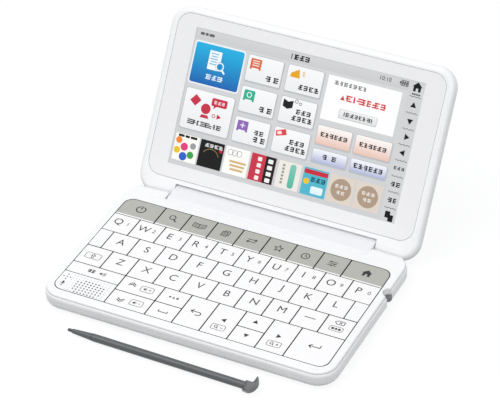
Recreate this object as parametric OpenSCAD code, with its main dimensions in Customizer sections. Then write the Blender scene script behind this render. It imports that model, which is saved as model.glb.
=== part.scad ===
// Pocket electronic dictionary: a keyboard half and a screen half on a two-axis hinge block, with its stylus.
// +X to the right, +Y away from the user, +Z up, origin on the table under the middle of the whole outline.

/* [Housings] */
// Width of both halves
body_w = 151; // [149:0.5:158]
// Depth of both halves
body_d = 95; // [94.5:0.5:102]
// Corner radius of both halves seen from above
corner_r = 10.5; // [9:0.5:12]
// Thickness of the keyboard half
base_t = 9; // [9:0.25:11]
// Thickness of the screen half
lid_t = 7.5; // [7.25:0.25:8.5]
// Side wall thickness of the shells
wall_t = 1.2; // [1:0.1:1.4]
// Floor and back thickness of the shells
floor_t = 1; // [0.9:0.05:1.2]
// Height of the rim that the keyboard frame adds on top of the bottom case
frame_rim_t = 1.2; // [1.1:0.05:1.4]
// Rounding of the frame's upper edge
frame_edge_r = 0.9; // [0.5:0.1:1]
// Rounding of the bottom case's lower edge
case_edge_r = 3.5; // [2.5:0.25:4]
// Rounding of the lid on its screen side
lid_front_edge_r = 2.75; // [2:0.25:3]
// Rounding of the lid on its outer side
lid_back_edge_r = 3.5; // [3:0.25:3.6]

/* [Hinge] */
// Opening angle of the screen half in the rest pose
open_angle = 122.8; // [110:0.1:135]
// Turn of the hinge block in the rest pose
block_angle = 90; // [80:1:100]
// Length of the hinge block
block_l = 107.8; // [100:0.2:112]
// Gap between the closed halves
closed_gap = 0.7; // [0.65:0.05:0.9]
// Clearance round the hinge block in its cut-outs
block_gap = 0.3; // [0.2:0.05:0.4]
// Hinge shaft radius
shaft_r = 1.5; // [1.2:0.1:1.7]
// Length of shaft inside each half
shaft_grip = 7.5; // [6:0.5:10]
// Running clearance of the shafts in the halves
shaft_fit = 0.05; // [0.03:0.01:0.08]

/* [Keyboard] */
// From the body's side to the key field
side_margin = 4.6; // [4.6:0.1:6]
// From the body's front to the key field
front_margin = 5.5; // [5:0.1:6.5]
// From the key field to the hinge axis
field_to_axis = 10.15; // [9.95:0.05:12]
// Depth of the front block of keys
front_row_h = 21.4; // [20:0.1:21.5]
// Gap between neighbouring keys
key_gap = 0.5; // [0.3:0.05:0.5]
// Corner radius of a key
key_corner_r = 0.3; // [0.2:0.1:1]
// Corner radius of the key field
field_corner_r = 5; // [4:0.5:6]
// Thickness of a key cap
cap_t = 1.2; // [1:0.05:1.2]
// How far the key tops stand above the frame
key_rise = 0.1; // [0:0.05:0.2]
// Key travel
key_travel = 0.7; // [0.5:0.05:0.8]
// Radius of a key's guide stem
stem_r = 2.3; // [2:0.1:2.3]
// Length of a key's guide stem
stem_l = 2.5; // [2.2:0.1:2.5]
// Clearance of the stems in the guide plate
stem_fit = 0.2; // [0.1:0.05:0.25]
// Thickness of the guide plate under the keys
guide_t = 0.6; // [0.5:0.05:0.6]

/* [Screen] */
// Width of the picture
screen_w = 121.8; // [112:0.2:123]
// From the picture to the bezel's edge at the lid's free edge
screen_to_edge = 6.2; // [5.5:0.1:9]
// From the lid's hinge axis to the picture
screen_from_axis = 13.2; // [12:0.1:14]
// Width of the rim beyond the bezel at the free edge
lid_rim = 3.35; // [3:0.05:4]
// Width of the rim beside the bezel
lid_side_rim = 4.1; // [3.6:0.1:5]
// How far the bezel lies below the rim
bezel_sink = 0.1; // [0:0.05:0.2]
// From the lid's hinge axis to the bezel
bezel_from_axis = 6.2; // [5.5:0.1:7]
// Thickness of the bezel
bezel_t = 1.1; // [0.8:0.05:1.3]
// Corner radius of the bezel
bezel_corner_r = 7; // [5:0.5:8]
// Groove between rim and bezel
bezel_groove = 0.2; // [0.1:0.05:0.3]
// Thickness of the display panel
panel_t = 3; // [2.5:0.1:3.2]
// Border of the display panel hidden by the bezel
panel_border = 2; // [1.5:0.1:2.5]

/* [Stylus] */
// Shaft radius
stylus_r = 1.87; // [1.7:0.01:1.95]
// Length from the nib to the middle of the head
stylus_l = 94.3; // [86:0.1:95]
// Radius of the nib
nib_r = 0.78; // [0.6:0.02:0.9]
// Length of the nib
nib_l = 2.6; // [2:0.1:3]
// Length of the nib and the sleeve behind it
sleeve_l = 13.5; // [10:0.5:16]
// Half width of the head
head_r = 2.4; // [2.2:0.05:2.5]
// How far the head reaches below the shaft's axis when put away
head_low = 2.7; // [2.2:0.05:2.9]
// How far the thick part of the head reaches above the shaft's axis
head_ledge = 2.1; // [2:0.05:2.4]
// How far the nail hook reaches above the shaft's axis
head_tip = 5.7; // [5:0.1:5.9]
// How far the head reaches outwards
head_out = 4.1; // [3.8:0.1:4.8]
// Curve of the head's outer face
head_face_r = 5.45; // [5.2:0.05:6]
// Place of the lying stylus's head, right of the middle
stylus_head_x = 41; // [30:0.5:50]
// From the front of the body to the lying stylus's head
stylus_away = 13; // [10:0.1:20]
// Turn of the lying stylus away from the body's front edge
stylus_yaw = 1.5; // [0:0.05:3]
// Roll of the lying stylus
stylus_roll = 32; // [20:1:45]
// Clearance of the stylus in its silo
stylus_fit = 0.1; // [0.05:0.01:0.1]
// Wall of the silo tube
silo_wall = 0.7; // [0.5:0.05:0.7]
// From the silo's axis to the hinge axis
silo_to_axis = 25.05; // [24.8:0.05:25.3]
// Radius of the finger notch at the silo's mouth
notch_r = 2.9; // [2.8:0.05:3]
// How far the finger notch reaches into the body
notch_depth = 3.4; // [3:0.1:3.5]

/* [Inside] */
// Height that the feet stand out
foot_h = 0.5; // [0.4:0.05:0.6]
// Radius of a foot
foot_r = 4; // [3:0.25:4.5]
// Thickness of the circuit board
board_t = 0.8; // [0.6:0.05:0.8]
// Width of the battery
battery_w = 60; // [40:1:62]
// From the battery to the silo's axis
battery_to_silo = 8.2; // [8:0.1:25]
// Radius of the earphone socket's bore
jack_r = 1.8; // [1.7:0.05:1.85]
// Depth of the earphone socket's bore
jack_depth = 12; // [10:0.5:13]

/* [Hidden] */
$fn = 64;
eps = 0.01;
cut = 1;

// between fixed inner pieces, between laid-in flat pieces, round a pin pressed in
part_gap = 0.2;
seat_gap = 0.05;
press_fit = 0.02;

under_z = foot_h;
top_z = foot_h + base_t;
part_z = top_z - frame_rim_t;
floor_z = under_z + floor_t;

// hinge: one axis at half thickness in each half, as far apart as the closed halves put them
rear_reach = lid_t / 2;
hinge_y = body_d - rear_reach;
hinge_z = under_z + base_t / 2;
link_l = base_t / 2 + closed_gap + lid_t / 2;
block_r = lid_t / 2;
lid_y = hinge_y + link_l * sin(block_angle);
lid_z = hinge_z + link_l * cos(block_angle);
notch_half = block_l / 2 + 0.4;
notch_reach = block_r + block_gap;
cavity_y = hinge_y - notch_reach - wall_t;
silo_y = hinge_y - silo_to_axis;

// key field: a deep front block and four rows
row_h = (hinge_y - field_to_axis - front_margin - front_row_h) / 4;
key_pitch = (body_w - 2 * side_margin) / 10;
field_w = body_w - 2 * side_margin;
field_gap = 0.15;
dome_t = 0.1;
skirt = wall_t + 0.3;
bump_h = 0.35;
bump_size = [4, 1.6];
bump_from_side = 4.7;
bump_y = 3.55;
cap_top_z = top_z + key_rise;
cap_z = cap_top_z - cap_t;
guide_top_z = cap_z - key_travel - part_gap;
guide_z = guide_top_z - guide_t;
stem_z = cap_z - stem_l;
board_top_z = stem_z - key_travel - dome_t;
board_z = board_top_z - board_t;

// stylus: its head is measured from the shaft's axis, as put away: x outwards, z up
head_round_x = 0.75;
head_inner_x = head_round_x - head_r;
head_face_mid = [head_out - head_face_r, 2.5];
hook_x = head_out - 1.2;
hook_fillet = 0.8;
hook_tip_w = 0.8;
head_edge_r = 0.8;
seam_w = 0.3;
collar_r = nib_r + 0.2;
seam_depth = 0.1;
edge_u = head_low - head_edge_r;
edge_v = head_r - head_edge_r;
head_drop = edge_u * sin(stylus_roll) + edge_v * cos(stylus_roll) + head_edge_r;
head_reach = edge_u * cos(stylus_roll) + edge_v * sin(stylus_roll) + head_edge_r;
stylus_tilt = asin((head_drop - stylus_r) / (stylus_l - sleeve_l - seam_w));

// silo, with a round notch through the body's side and a deeper pocket for the head's thick part
silo_r = stylus_r + stylus_fit;
silo_z = floor_z + silo_r;
notch_x = body_w / 2 - notch_depth + notch_r;
notch_wall = 0.9;
head_gap = 0.3;
pocket_depth = 4.85;
pocket_x = body_w / 2 - pocket_depth + notch_r;
silo_end_t = 1.5;
pocket_z = silo_z + head_ledge + head_gap;
silo_end_x = pocket_x - notch_r + head_gap - head_inner_x - stylus_l - 0.5;

// the whole outline in Y, for the origin
lid_turn = 180 - open_angle;
back_y = lid_y + (hinge_y - lid_back_edge_r) * cos(lid_turn)
    + (lid_t / 2 - lid_back_edge_r) * sin(lid_turn) + lid_back_edge_r;
front_y = -stylus_away - head_reach;
mid_y = (front_y + back_y) / 2;

// earphone socket, data socket and loudspeaker inside the left side
jack_x = -body_w / 2 + case_edge_r + part_gap;
jack_body = [jack_depth - case_edge_r + 1.5, 6, 4.8];
jack_y = silo_y - 19;
jack_z = floor_z + part_gap + jack_body[2] / 2;
jack_wall = 0.6;
data_y = jack_y - 13.6;
data_size = [5.5, 8, board_z - floor_z - part_gap];
data_wall = 0.3;
battery_at = [-8, 12];
battery_size = [battery_w, silo_y - battery_to_silo - battery_at[1], board_z - floor_z - part_gap];
speaker_at = [-field_w / 2 + 17.8, front_margin + 4.6];
speaker_size = [18, 11, 3.3];
boss_r = 2.2;
boss_x = body_w / 2 - 9.5;
boss_rows = [7.5, silo_y - silo_r - silo_wall - boss_r - 0.7, cavity_y - 6.5];
boss_at = concat([for (x = [-boss_x, boss_x], y = boss_rows) [x, y]],
    [[0, boss_rows[0]], [0, boss_rows[2]]]);
foot_seat = 0.4;
foot_at = [for (side = [-1, 1], row = [[13.5, 12], [11.5, body_d - 9]])
    [side * (body_w / 2 - row[0]), row[1]]];
board_edge = wall_t + 1.4;

// the lid, in its own measures: axis on y = 0, screen side up, free edge at y = hinge_y
bezel_y1 = hinge_y - lid_rim;
bezel_half = body_w / 2 - lid_side_rim;
screen_h = bezel_y1 - screen_to_edge - screen_from_axis;
face_z = lid_t / 2;
bezel_seat_z = face_z - bezel_sink - bezel_t;
rebate_t = bezel_t / 2;
panel_z = bezel_seat_z + rebate_t - seat_gap - panel_t;
panel_ledge = 1.5;
rib_t = 1.2;
rib_at = [0.25, 0.75];

// keys: name, left and right edge in pitches, front and rear edge in rows, rounded corner
letters_top = ["q", "w", "e", "r", "t", "y", "u", "i", "o", "p"];
letters_mid = ["a", "s", "d", "f", "g", "h", "j", "k", "l"];
letters_low = ["z", "x", "c", "v", "b", "n", "m"];
keys = concat(
    [["key_power", 0, 1.5, 4, 5, "rear_left"], ["key_home", 8.5, 10, 4, 5, "rear_right"]],
    [for (i = [0:6]) [str("key_menu_", i + 1), 1.5 + i, 2.5 + i, 4, 5, "none"]],
    [for (i = [0:9]) [str("key_", letters_top[i]), i, i + 1, 3, 4, "none"]],
    [for (i = [0:8]) [str("key_", letters_mid[i]), i + 0.5, i + 1.5, 2, 3, "none"]],
    [for (i = [0:6]) [str("key_", letters_low[i]), i + 1, i + 2, 1, 2, "none"]],
    [["key_shift", 0, 1, 1, 2, "none"]],
    [["key_dash", 8, 9, 1, 2, "none"], ["key_delete", 9, 10, 1, 2, "none"]],
    [["key_voice", 0, 2, 0.63, 1, "none"]],
    [["key_page_up", 2, 3.5, 0.5, 1, "none"], ["key_page_down", 2, 3.5, 0, 0.5, "none"]],
    [["key_symbol", 3.5, 4.5, 0.5, 1, "none"], ["key_space", 3.5, 4.5, 0, 0.5, "none"]],
    [["key_back", 4.5, 5.5, 0, 1, "none"], ["key_left", 5.5, 6.5, 0, 1, "none"]],
    [["key_up", 6.5, 7.5, 0.5, 1, "none"], ["key_down", 6.5, 7.5, 0, 0.5, "none"]],
    [["key_right", 7.5, 8.5, 0, 1, "none"], ["key_enter", 8.5, 10, 0, 1, "front_right"]]
);
// fixed tiles of the frame, in the same measures
tiles = [
    ["speaker", 0, 2, 0, 0.63, "front_left"],
    ["blank_left", 0, 0.5, 2, 3, "none"],
    ["blank_right", 9.5, 10, 2, 3, "none"]
];

function row_y(v) = front_margin + min(v, 1) * front_row_h + max(v - 1, 0) * row_h;
function key_x(u) = u * key_pitch - field_w / 2;

// what a round corner takes off, at the plus-plus corner
module corner_waste(r) {
    difference() {
        square([r + cut, r + cut]);
        circle(r);
    }
}

// slab with round corners and rounded upper and lower edges, its front edge on y = 0;
// each quarter starts at its own corner's axis and reaches a little past the middle
module slab(w, d, t, r, top_r, low_r) {
    reach = [w / 2 - r + cut, d / 2 - r + cut];
    for (sx = [0, 1], sy = [0, 1])
        translate([0, d / 2, 0]) mirror([sx, 0, 0]) mirror([0, sy, 0])
            translate([w / 2 - r, d / 2 - r, 0]) {
                rotate_extrude(angle = 90) half_section(t, r, top_r, low_r);
                rotate([90, 0, 0]) linear_extrude(reach[1]) half_section(t, r, top_r, low_r);
                mirror([1, 0, 0]) rotate([90, 0, 90])
                    linear_extrude(reach[0]) half_section(t, r, top_r, low_r);
                translate([-reach[0], -reach[1], 0]) cube([reach[0], reach[1], t]);
            }
}

// outer part of a slab cut across: from a corner's axis to its edge
module half_section(t, r, top_r, low_r) {
    difference() {
        square([r, t]);
        translate([r - top_r, t - top_r]) corner_waste(top_r);
        translate([r - low_r, low_r]) mirror([0, 1]) corner_waste(low_r);
    }
}

// flat tile with four corner radii: front left, front right, rear right, rear left
module tile(x0, x1, y0, y1, r) {
    difference() {
        translate([x0, y0]) square([x1 - x0, y1 - y0]);
        translate([x0 + r[0], y0 + r[0]]) mirror([1, 0]) mirror([0, 1]) corner_waste(r[0]);
        translate([x1 - r[1], y0 + r[1]]) mirror([0, 1]) corner_waste(r[1]);
        translate([x1 - r[2], y1 - r[2]]) corner_waste(r[2]);
        translate([x0 + r[3], y1 - r[3]]) mirror([1, 0]) corner_waste(r[3]);
    }
}

// outline of one key or fixed tile, drawn in by a margin
module key_outline(k, margin) {
    far_r = field_corner_r - margin;
    near_r = key_corner_r;
    tile(key_x(k[1]) + margin, key_x(k[2]) - margin, row_y(k[3]) + margin, row_y(k[4]) - margin,
        [k[5] == "front_left" ? far_r : near_r, k[5] == "front_right" ? far_r : near_r,
         k[5] == "rear_right" ? far_r : near_r, k[5] == "rear_left" ? far_r : near_r]);
}

function key_mid(k) = [(key_x(k[1]) + key_x(k[2])) / 2, (row_y(k[3]) + row_y(k[4])) / 2];

// places the whole object with its origin under the middle of its outline
module placed() translate([0, -mid_y, 0]) children();

// turns a half that is drawn with its axis on x = 0, y = 0, z = 0 to its place in the rest pose
module lid_placed() placed() translate([0, lid_y, lid_z]) rotate([lid_turn, 0, 0]) children();
module block_placed() placed() translate([0, hinge_y, hinge_z]) rotate([90 - block_angle, 0, 0]) children();

// cylinder along X between two places
module rod(x0, x1, y, z, r) translate([x0, y, z]) rotate([0, 90, 0]) cylinder(r = r, h = x1 - x0);

// the same cylinder at both ends of a hinge axis, between two distances from the middle
module shaft_pair(near, far, y, z, r) {
    rod(near, far, y, z, r);
    rod(-far, -near, y, z, r);
}

// everything behind the hinge axis that lies outside the round rear edge
module rear_waste(y, z, r, low, high) {
    difference() {
        translate([-body_w, y, low - cut]) cube([2 * body_w, body_d, high - low + 2 * cut]);
        rod(-body_w, body_w, y, z, r);
    }
}

// cut-out for the hinge block, from y to behind the body
module block_notch(y, low, high)
    translate([-notch_half, y, low - cut]) cube([2 * notch_half, body_d, high - low + 2 * cut]);

// upright hole with its round end at x, open towards the body's side
module side_notch(x, r, low, high) {
    translate([x, silo_y, low]) cylinder(r = r, h = high - low);
    translate([x, silo_y - r, low]) cube([body_w, 2 * r, high - low]);
}

module bottom_case() {
    case_h = part_z - under_z;
    inner_d = cavity_y - wall_t;
    color("whitesmoke") placed() difference() {
        translate([0, 0, under_z]) slab(body_w, body_d, case_h, corner_r, 0, case_edge_r);
        difference() {
            translate([0, wall_t, floor_z])
                slab(body_w - 2 * wall_t, inner_d, case_h, corner_r - wall_t, 0, case_edge_r - wall_t);
            side_notch(notch_x, notch_r + notch_wall, 0, top_z);
            side_notch(pocket_x, notch_r + notch_wall, 0, pocket_z + notch_wall);
            rod(silo_end_x - silo_end_t, body_w / 2, silo_y, silo_z, silo_r + silo_wall);
            for (p = boss_at) translate([p[0], p[1], 0]) cylinder(r = boss_r, h = board_z);
        }
        rear_waste(hinge_y, hinge_z, base_t / 2, 0, top_z);
        block_notch(hinge_y - notch_reach, 0, top_z);
        shaft_pair(notch_half - cut, notch_half + shaft_grip + part_gap, hinge_y, hinge_z,
            shaft_r + shaft_fit);
        side_notch(notch_x, notch_r, -cut, top_z);
        side_notch(pocket_x, notch_r, -cut, pocket_z);
        rod(silo_end_x, notch_x, silo_y, silo_z, silo_r);
        rod(-body_w / 2 - cut, jack_x, jack_y, jack_z, jack_r + jack_wall + part_gap / 2);
        translate([-body_w / 2, data_y, board_z - data_size[2] / 2]) cube([2 * case_edge_r,
            data_size[1] + 2 * part_gap, data_size[2] + 2 * part_gap], center = true);
        for (p = foot_at) translate([p[0], p[1], 0])
            cylinder(r = foot_r + part_gap / 2, h = under_z + foot_seat);
    }
}

module keyboard_frame() {
    color("white") placed() {
        difference() {
            union() {
                translate([0, 0, part_z]) slab(body_w, body_d, frame_rim_t, corner_r, frame_edge_r, 0);
                translate([0, skirt, guide_z]) linear_extrude(part_z - guide_z + eps)
                    tile(-body_w / 2 + skirt, body_w / 2 - skirt, 0, cavity_y - skirt - part_gap,
                        [1, 1, 1, 1] * (corner_r - skirt));
            }
            translate([0, 0, guide_top_z]) linear_extrude(top_z)
                tile(-field_w / 2 - field_gap, field_w / 2 + field_gap, row_y(0) - field_gap,
                    row_y(5) + field_gap, [1, 1, 1, 1] * field_corner_r);
            for (k = keys) translate([key_mid(k)[0], key_mid(k)[1], guide_z - cut])
                cylinder(r = stem_r + stem_fit, h = guide_t + 2 * cut);
            rear_waste(hinge_y, hinge_z, base_t / 2, guide_z, top_z);
            block_notch(hinge_y - notch_reach, guide_z, top_z);
            side_notch(notch_x, notch_r, guide_z - cut, top_z + cut);
            side_notch(notch_x, notch_r + notch_wall + part_gap, guide_z - cut, part_z);
        }
        for (k = tiles) translate([0, 0, guide_top_z - eps]) linear_extrude(cap_top_z - guide_top_z + eps)
            key_outline(k, key_gap / 2);
        for (x = [-1, 1])
            translate([x * (field_w / 2 - bump_from_side), bump_y, top_z - eps]) bump();
    }
}

// small oval bump that keeps the closed lid off the keys
module bump() linear_extrude(bump_h + eps) {
    straight = bump_size[0] - bump_size[1];
    for (x = [-1, 1]) translate([x * straight / 2, 0]) circle(bump_size[1] / 2);
    square([straight, bump_size[1]], center = true);
}

module key(k) {
    tint = k[3] == 4 ? [0.75, 0.755, 0.72] : [0.97, 0.97, 0.975];
    color(tint) placed() {
        translate([0, 0, cap_z]) linear_extrude(cap_t) key_outline(k, key_gap / 2);
        translate([key_mid(k)[0], key_mid(k)[1], stem_z]) cylinder(r = stem_r, h = stem_l + eps);
    }
}

module main_board() {
    color("seagreen") placed() {
        difference() {
            translate([0, 0, board_z]) linear_extrude(board_t)
                tile(-body_w / 2 + board_edge, body_w / 2 - board_edge, board_edge, cavity_y - board_edge / 2,
                    [1, 1, 1, 1] * (corner_r - board_edge));
            translate([silo_end_x - silo_end_t - part_gap, silo_y - silo_r - silo_wall - part_gap, 0])
                cube([body_w, 2 * (silo_r + silo_wall + part_gap), top_z]);
            side_notch(pocket_x, notch_r + notch_wall + part_gap, 0, top_z);
            translate([jack_x, jack_y, jack_z])
                cube([2 * (jack_body[0] + part_gap), jack_body[1] + 2 * part_gap, top_z], center = true);
            translate([speaker_at[0], speaker_at[1], top_z / 2])
                cube([speaker_size[0] + 2 * part_gap, speaker_size[1] + 2 * part_gap, top_z], center = true);
        }
        difference() {
            union() {
                translate([jack_x, jack_y - jack_body[1] / 2, floor_z + part_gap]) cube(jack_body);
                rod(-body_w / 2 + part_gap, jack_x + cut, jack_y, jack_z, jack_r + jack_wall);
            }
            rod(-body_w / 2 - cut, -body_w / 2 + part_gap + jack_depth, jack_y, jack_z, jack_r);
        }
        difference() {
            translate([-body_w / 2 + wall_t / 2, data_y - data_size[1] / 2, board_z - data_size[2]])
                cube(data_size);
            translate([-body_w / 2, data_y, board_z - data_size[2] / 2]) cube([2 * data_size[0],
                data_size[1] - 2 * data_wall, data_size[2] - 2 * data_wall], center = true);
        }
        translate([speaker_at[0] - speaker_size[0] / 2, speaker_at[1] - speaker_size[1] / 2, floor_z])
            cube(speaker_size);
    }
}

module battery_pack() color("dimgray") placed()
    translate([battery_at[0], battery_at[1], floor_z]) cube(battery_size);

module feet() color("darkgray") placed()
    for (p = foot_at) translate([p[0], p[1], 0]) cylinder(r = foot_r, h = under_z + foot_seat);

module hinge_block() color("whitesmoke") block_placed() difference() {
    translate([-block_l / 2, 0, 0]) rotate([90, 0, 90]) linear_extrude(block_l) {
        circle(block_r);
        translate([link_l, 0]) circle(block_r);
        translate([0, -block_r]) square([link_l, 2 * block_r]);
    }
    for (y = [0, link_l])
        shaft_pair(block_l / 2 - shaft_grip, block_l / 2 + cut, y, 0, shaft_r + press_fit);
}

module hinge_shafts() color("silver") block_placed()
    for (y = [0, link_l])
        shaft_pair(block_l / 2 - shaft_grip + part_gap, notch_half + shaft_grip, y, 0, shaft_r);

module lid_cover() color("white") lid_placed() difference() {
    translate([0, -rear_reach, -lid_t / 2])
        slab(body_w, body_d, lid_t, corner_r, lid_front_edge_r, lid_back_edge_r);
    mirror([0, 1, 0]) rear_waste(0, 0, lid_t / 2, -lid_t / 2, lid_t / 2);
    mirror([0, 1, 0]) block_notch(-notch_reach, -lid_t / 2, lid_t / 2);
    translate([0, 0, bezel_seat_z]) linear_extrude(lid_t)
        tile(-bezel_half, bezel_half, bezel_from_axis, bezel_y1, [1, 1, 1, 1] * bezel_corner_r);
    difference() {
        translate([0, 0, -lid_t / 2 + floor_t]) linear_extrude(lid_t)
            tile(-bezel_half + panel_ledge, bezel_half - panel_ledge, bezel_from_axis + panel_ledge,
                bezel_y1 - panel_ledge, [1, 1, 1, 1] * (bezel_corner_r - panel_ledge));
        for (v = rib_at)
            translate([-screen_w / 2, screen_from_axis + v * screen_h - rib_t / 2, -lid_t / 2])
                cube([screen_w, rib_t, panel_z - seat_gap + lid_t / 2]);
    }
    shaft_pair(notch_half - cut, notch_half + shaft_grip + part_gap, 0, 0, shaft_r + shaft_fit);
}

module lid_bezel() color([0.94, 0.945, 0.95]) lid_placed() difference() {
    translate([0, 0, bezel_seat_z]) linear_extrude(bezel_t)
        tile(-bezel_half + bezel_groove, bezel_half - bezel_groove, bezel_from_axis + bezel_groove,
            bezel_y1 - bezel_groove, [1, 1, 1, 1] * (bezel_corner_r - bezel_groove));
    screen_hole(0, bezel_t + 2 * cut);
    screen_hole(panel_border + part_gap, rebate_t + cut);
}

// block over the picture, wider by a margin, from below the bezel
module screen_hole(margin, h)
    translate([-screen_w / 2 - margin, screen_from_axis - margin, bezel_seat_z - cut])
        cube([screen_w + 2 * margin, screen_h + 2 * margin, h]);

module display_panel() color("lightgray") lid_placed()
    translate([-screen_w / 2 - panel_border, screen_from_axis - panel_border, panel_z])
        cube([screen_w + 2 * panel_border, screen_h + 2 * panel_border, panel_t]);

// outline that turns into the nib, the sleeve, the shaft and the seam between them
module stylus_section() {
    intersection() {
        translate([0, nib_r]) circle(nib_r);
        square(nib_r);
    }
    translate([0, nib_r]) square([nib_r, nib_l]);
    polygon([[0, nib_l], [collar_r, nib_l], [collar_r + 0.1, nib_l + 0.4], [stylus_r - seam_depth, sleeve_l],
        [stylus_r - 2 * seam_depth, sleeve_l], [stylus_r - 2 * seam_depth, sleeve_l + seam_w],
        [stylus_r, sleeve_l + seam_w], [stylus_r, stylus_l], [0, stylus_l]]);
}

// head of the stylus: a thick round part that fills the notch, and a thin hook for the nail above it
module stylus_head() {
    span = 4 * head_tip;
    intersection() {
        translate([0, 0, -span / 2]) linear_extrude(span) {
            translate([head_round_x, 0]) circle(head_r);
            translate([head_round_x, -head_r]) square([span, 2 * head_r]);
        }
        rotate([90, 0, 0]) translate([0, 0, -span / 2]) linear_extrude(span) difference() {
            translate(head_face_mid) circle(head_face_r);
            translate([-span, head_ledge + hook_fillet]) square([span + hook_x, span]);
            translate([-span, head_ledge]) square([span + hook_x - hook_fillet, span]);
            translate([hook_x - hook_fillet, head_ledge + hook_fillet]) circle(hook_fillet);
        }
        translate([-span / 2, 0, 0]) rotate([90, 0, 90]) linear_extrude(span) {
            translate([-head_r, -edge_u]) square([2 * head_r, edge_u + head_ledge]);
            translate([-edge_v, -head_low]) square([2 * edge_v, head_low]);
            for (y = [-1, 1]) translate([y * edge_v, -edge_u]) circle(head_edge_r);
            polygon([[-head_r, head_ledge], [head_r, head_ledge],
                [hook_tip_w / 2, head_tip], [-hook_tip_w / 2, head_tip]]);
        }
    }
}

// the stylus lies in front of the body, nib to the left, resting on the end of its sleeve and on its head
module stylus() color("dimgray") placed()
    translate([stylus_head_x, -stylus_away, head_drop])
        rotate([0, -stylus_tilt, -stylus_yaw]) rotate([stylus_roll - 90, 0, 0]) {
            translate([-stylus_l, 0, 0]) rotate([0, 90, 0]) rotate_extrude() stylus_section();
            stylus_head();
        }

bottom_case();
keyboard_frame();
main_board();
battery_pack();
feet();
hinge_block();
hinge_shafts();
lid_cover();
lid_bezel();
display_panel();
stylus();
for (k = keys) key(k);
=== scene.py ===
import math

import bmesh
import bpy
from mathutils import Matrix, Vector


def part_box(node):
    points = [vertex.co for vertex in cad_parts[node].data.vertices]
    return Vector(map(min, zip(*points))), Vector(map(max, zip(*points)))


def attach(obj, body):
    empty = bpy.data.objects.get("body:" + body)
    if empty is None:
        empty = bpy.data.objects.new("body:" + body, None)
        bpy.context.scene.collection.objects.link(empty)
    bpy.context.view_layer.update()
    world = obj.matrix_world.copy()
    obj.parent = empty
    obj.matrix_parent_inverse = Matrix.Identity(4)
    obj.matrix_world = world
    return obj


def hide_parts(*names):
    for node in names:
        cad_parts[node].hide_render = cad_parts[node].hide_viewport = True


# Looks of a pocket dictionary: keys with print, the lit screen, stylus, socket ring, screws and finishes.
# Settings and drawings are in millimetres and degrees; meshes, the floor and the lamps are in metres.

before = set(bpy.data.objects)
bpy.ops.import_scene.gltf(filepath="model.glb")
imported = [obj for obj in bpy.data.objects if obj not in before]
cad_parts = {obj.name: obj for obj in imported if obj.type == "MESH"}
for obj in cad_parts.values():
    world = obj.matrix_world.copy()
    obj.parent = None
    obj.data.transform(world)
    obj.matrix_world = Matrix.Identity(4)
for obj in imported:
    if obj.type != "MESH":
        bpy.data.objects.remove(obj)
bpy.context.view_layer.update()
mm = 0.001
toMetres = Matrix.Diagonal((mm, mm, mm, 1))

# the two planes that things are drawn on
deck = {"frontEdgeY": -67.593, "top": 9.5, "partingZ": 8.3}
lid = {"axisY": 32.607, "axisZ": 5.0, "turn": 57.2, "screenZ": 3.05}
lidPlace = (Matrix.Translation((0, lid["axisY"] * mm, lid["axisZ"] * mm))
            @ Matrix.Rotation(math.radians(lid["turn"]), 4, "X") @ toMetres)


def srgb(hexText):
    channels = [int(hexText[i:i + 2], 16) / 255 for i in (1, 3, 5)]
    return [c / 12.92 if c <= 0.04045 else ((c + 0.055) / 1.055) ** 2.4 for c in channels] + [1.0]


def addNode(tree, kind, settings=None, inputs=None):
    node = tree.nodes.new(kind)
    for name, value in (settings or {}).items():
        setattr(node, name, value)
    for name, value in (inputs or {}).items():
        if isinstance(value, bpy.types.NodeSocket):
            tree.links.new(value, node.inputs[name])
        else:
            node.inputs[name].default_value = value
    return node


def newMaterial(name, shader):
    material = bpy.data.materials.new(name)
    material.use_nodes = True
    tree = material.node_tree
    bsdf = tree.nodes["Principled BSDF"]
    for key, value in shader.items():
        bsdf.inputs[key].default_value = value
    return material, tree, bsdf


def objectPoint(tree):
    return addNode(tree, "ShaderNodeTexCoord").outputs["Object"]


def addSurface(tree, bsdf, grainMm, bumpMm, roughRange, patchMm=14):
    # fine moulded skin: a shallow bump of one grain size, and gloss that drifts over larger patches
    point = objectPoint(tree)
    grain = addNode(tree, "ShaderNodeTexNoise", None,
                    {"Vector": point, "Scale": 1 / (grainMm * mm), "Detail": 2.0, "Roughness": 0.5})
    bump = addNode(tree, "ShaderNodeBump", None,
                   {"Height": grain.outputs["Fac"], "Strength": 0.35, "Distance": bumpMm * mm})
    tree.links.new(bump.outputs["Normal"], bsdf.inputs["Normal"])
    patch = addNode(tree, "ShaderNodeTexNoise", None,
                    {"Vector": point, "Scale": 1 / (patchMm * mm), "Detail": 3.0, "Roughness": 0.6})
    spread = addNode(tree, "ShaderNodeMapRange", None,
                     {"Value": patch.outputs["Fac"], "From Min": 0.3, "From Max": 0.7,
                      "To Min": roughRange[0], "To Max": roughRange[1]})
    tree.links.new(spread.outputs["Result"], bsdf.inputs["Roughness"])
    return point


def paintOver(tree, share, ground, colour):
    # a colour laid over the ground by a share; sockets 6 and 7 are the Mix node's two colours
    node = addNode(tree, "ShaderNodeMix", {"data_type": "RGBA"}, {"Factor": share, 6: ground, 7: colour})
    return node.outputs[2]


def nearPlane(tree, value, middleMm, reachMm):
    # 1 where a coordinate lies within a distance of a place, otherwise 0
    node = addNode(tree, "ShaderNodeMath", {"operation": "COMPARE"},
                   {0: value, 1: middleMm * mm, 2: reachMm * mm})
    return node.outputs["Value"]


def between(tree, value, low, high):
    # 1 where a coordinate lies between two places, otherwise 0
    return nearPlane(tree, value, (low + high) / 2, (high - low) / 2)


def bothOf(tree, first, second):
    # one share of another: 1 only where both are
    node = addNode(tree, "ShaderNodeMath", {"operation": "MULTIPLY"}, {0: first, 1: second})
    return node.outputs["Value"]


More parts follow.
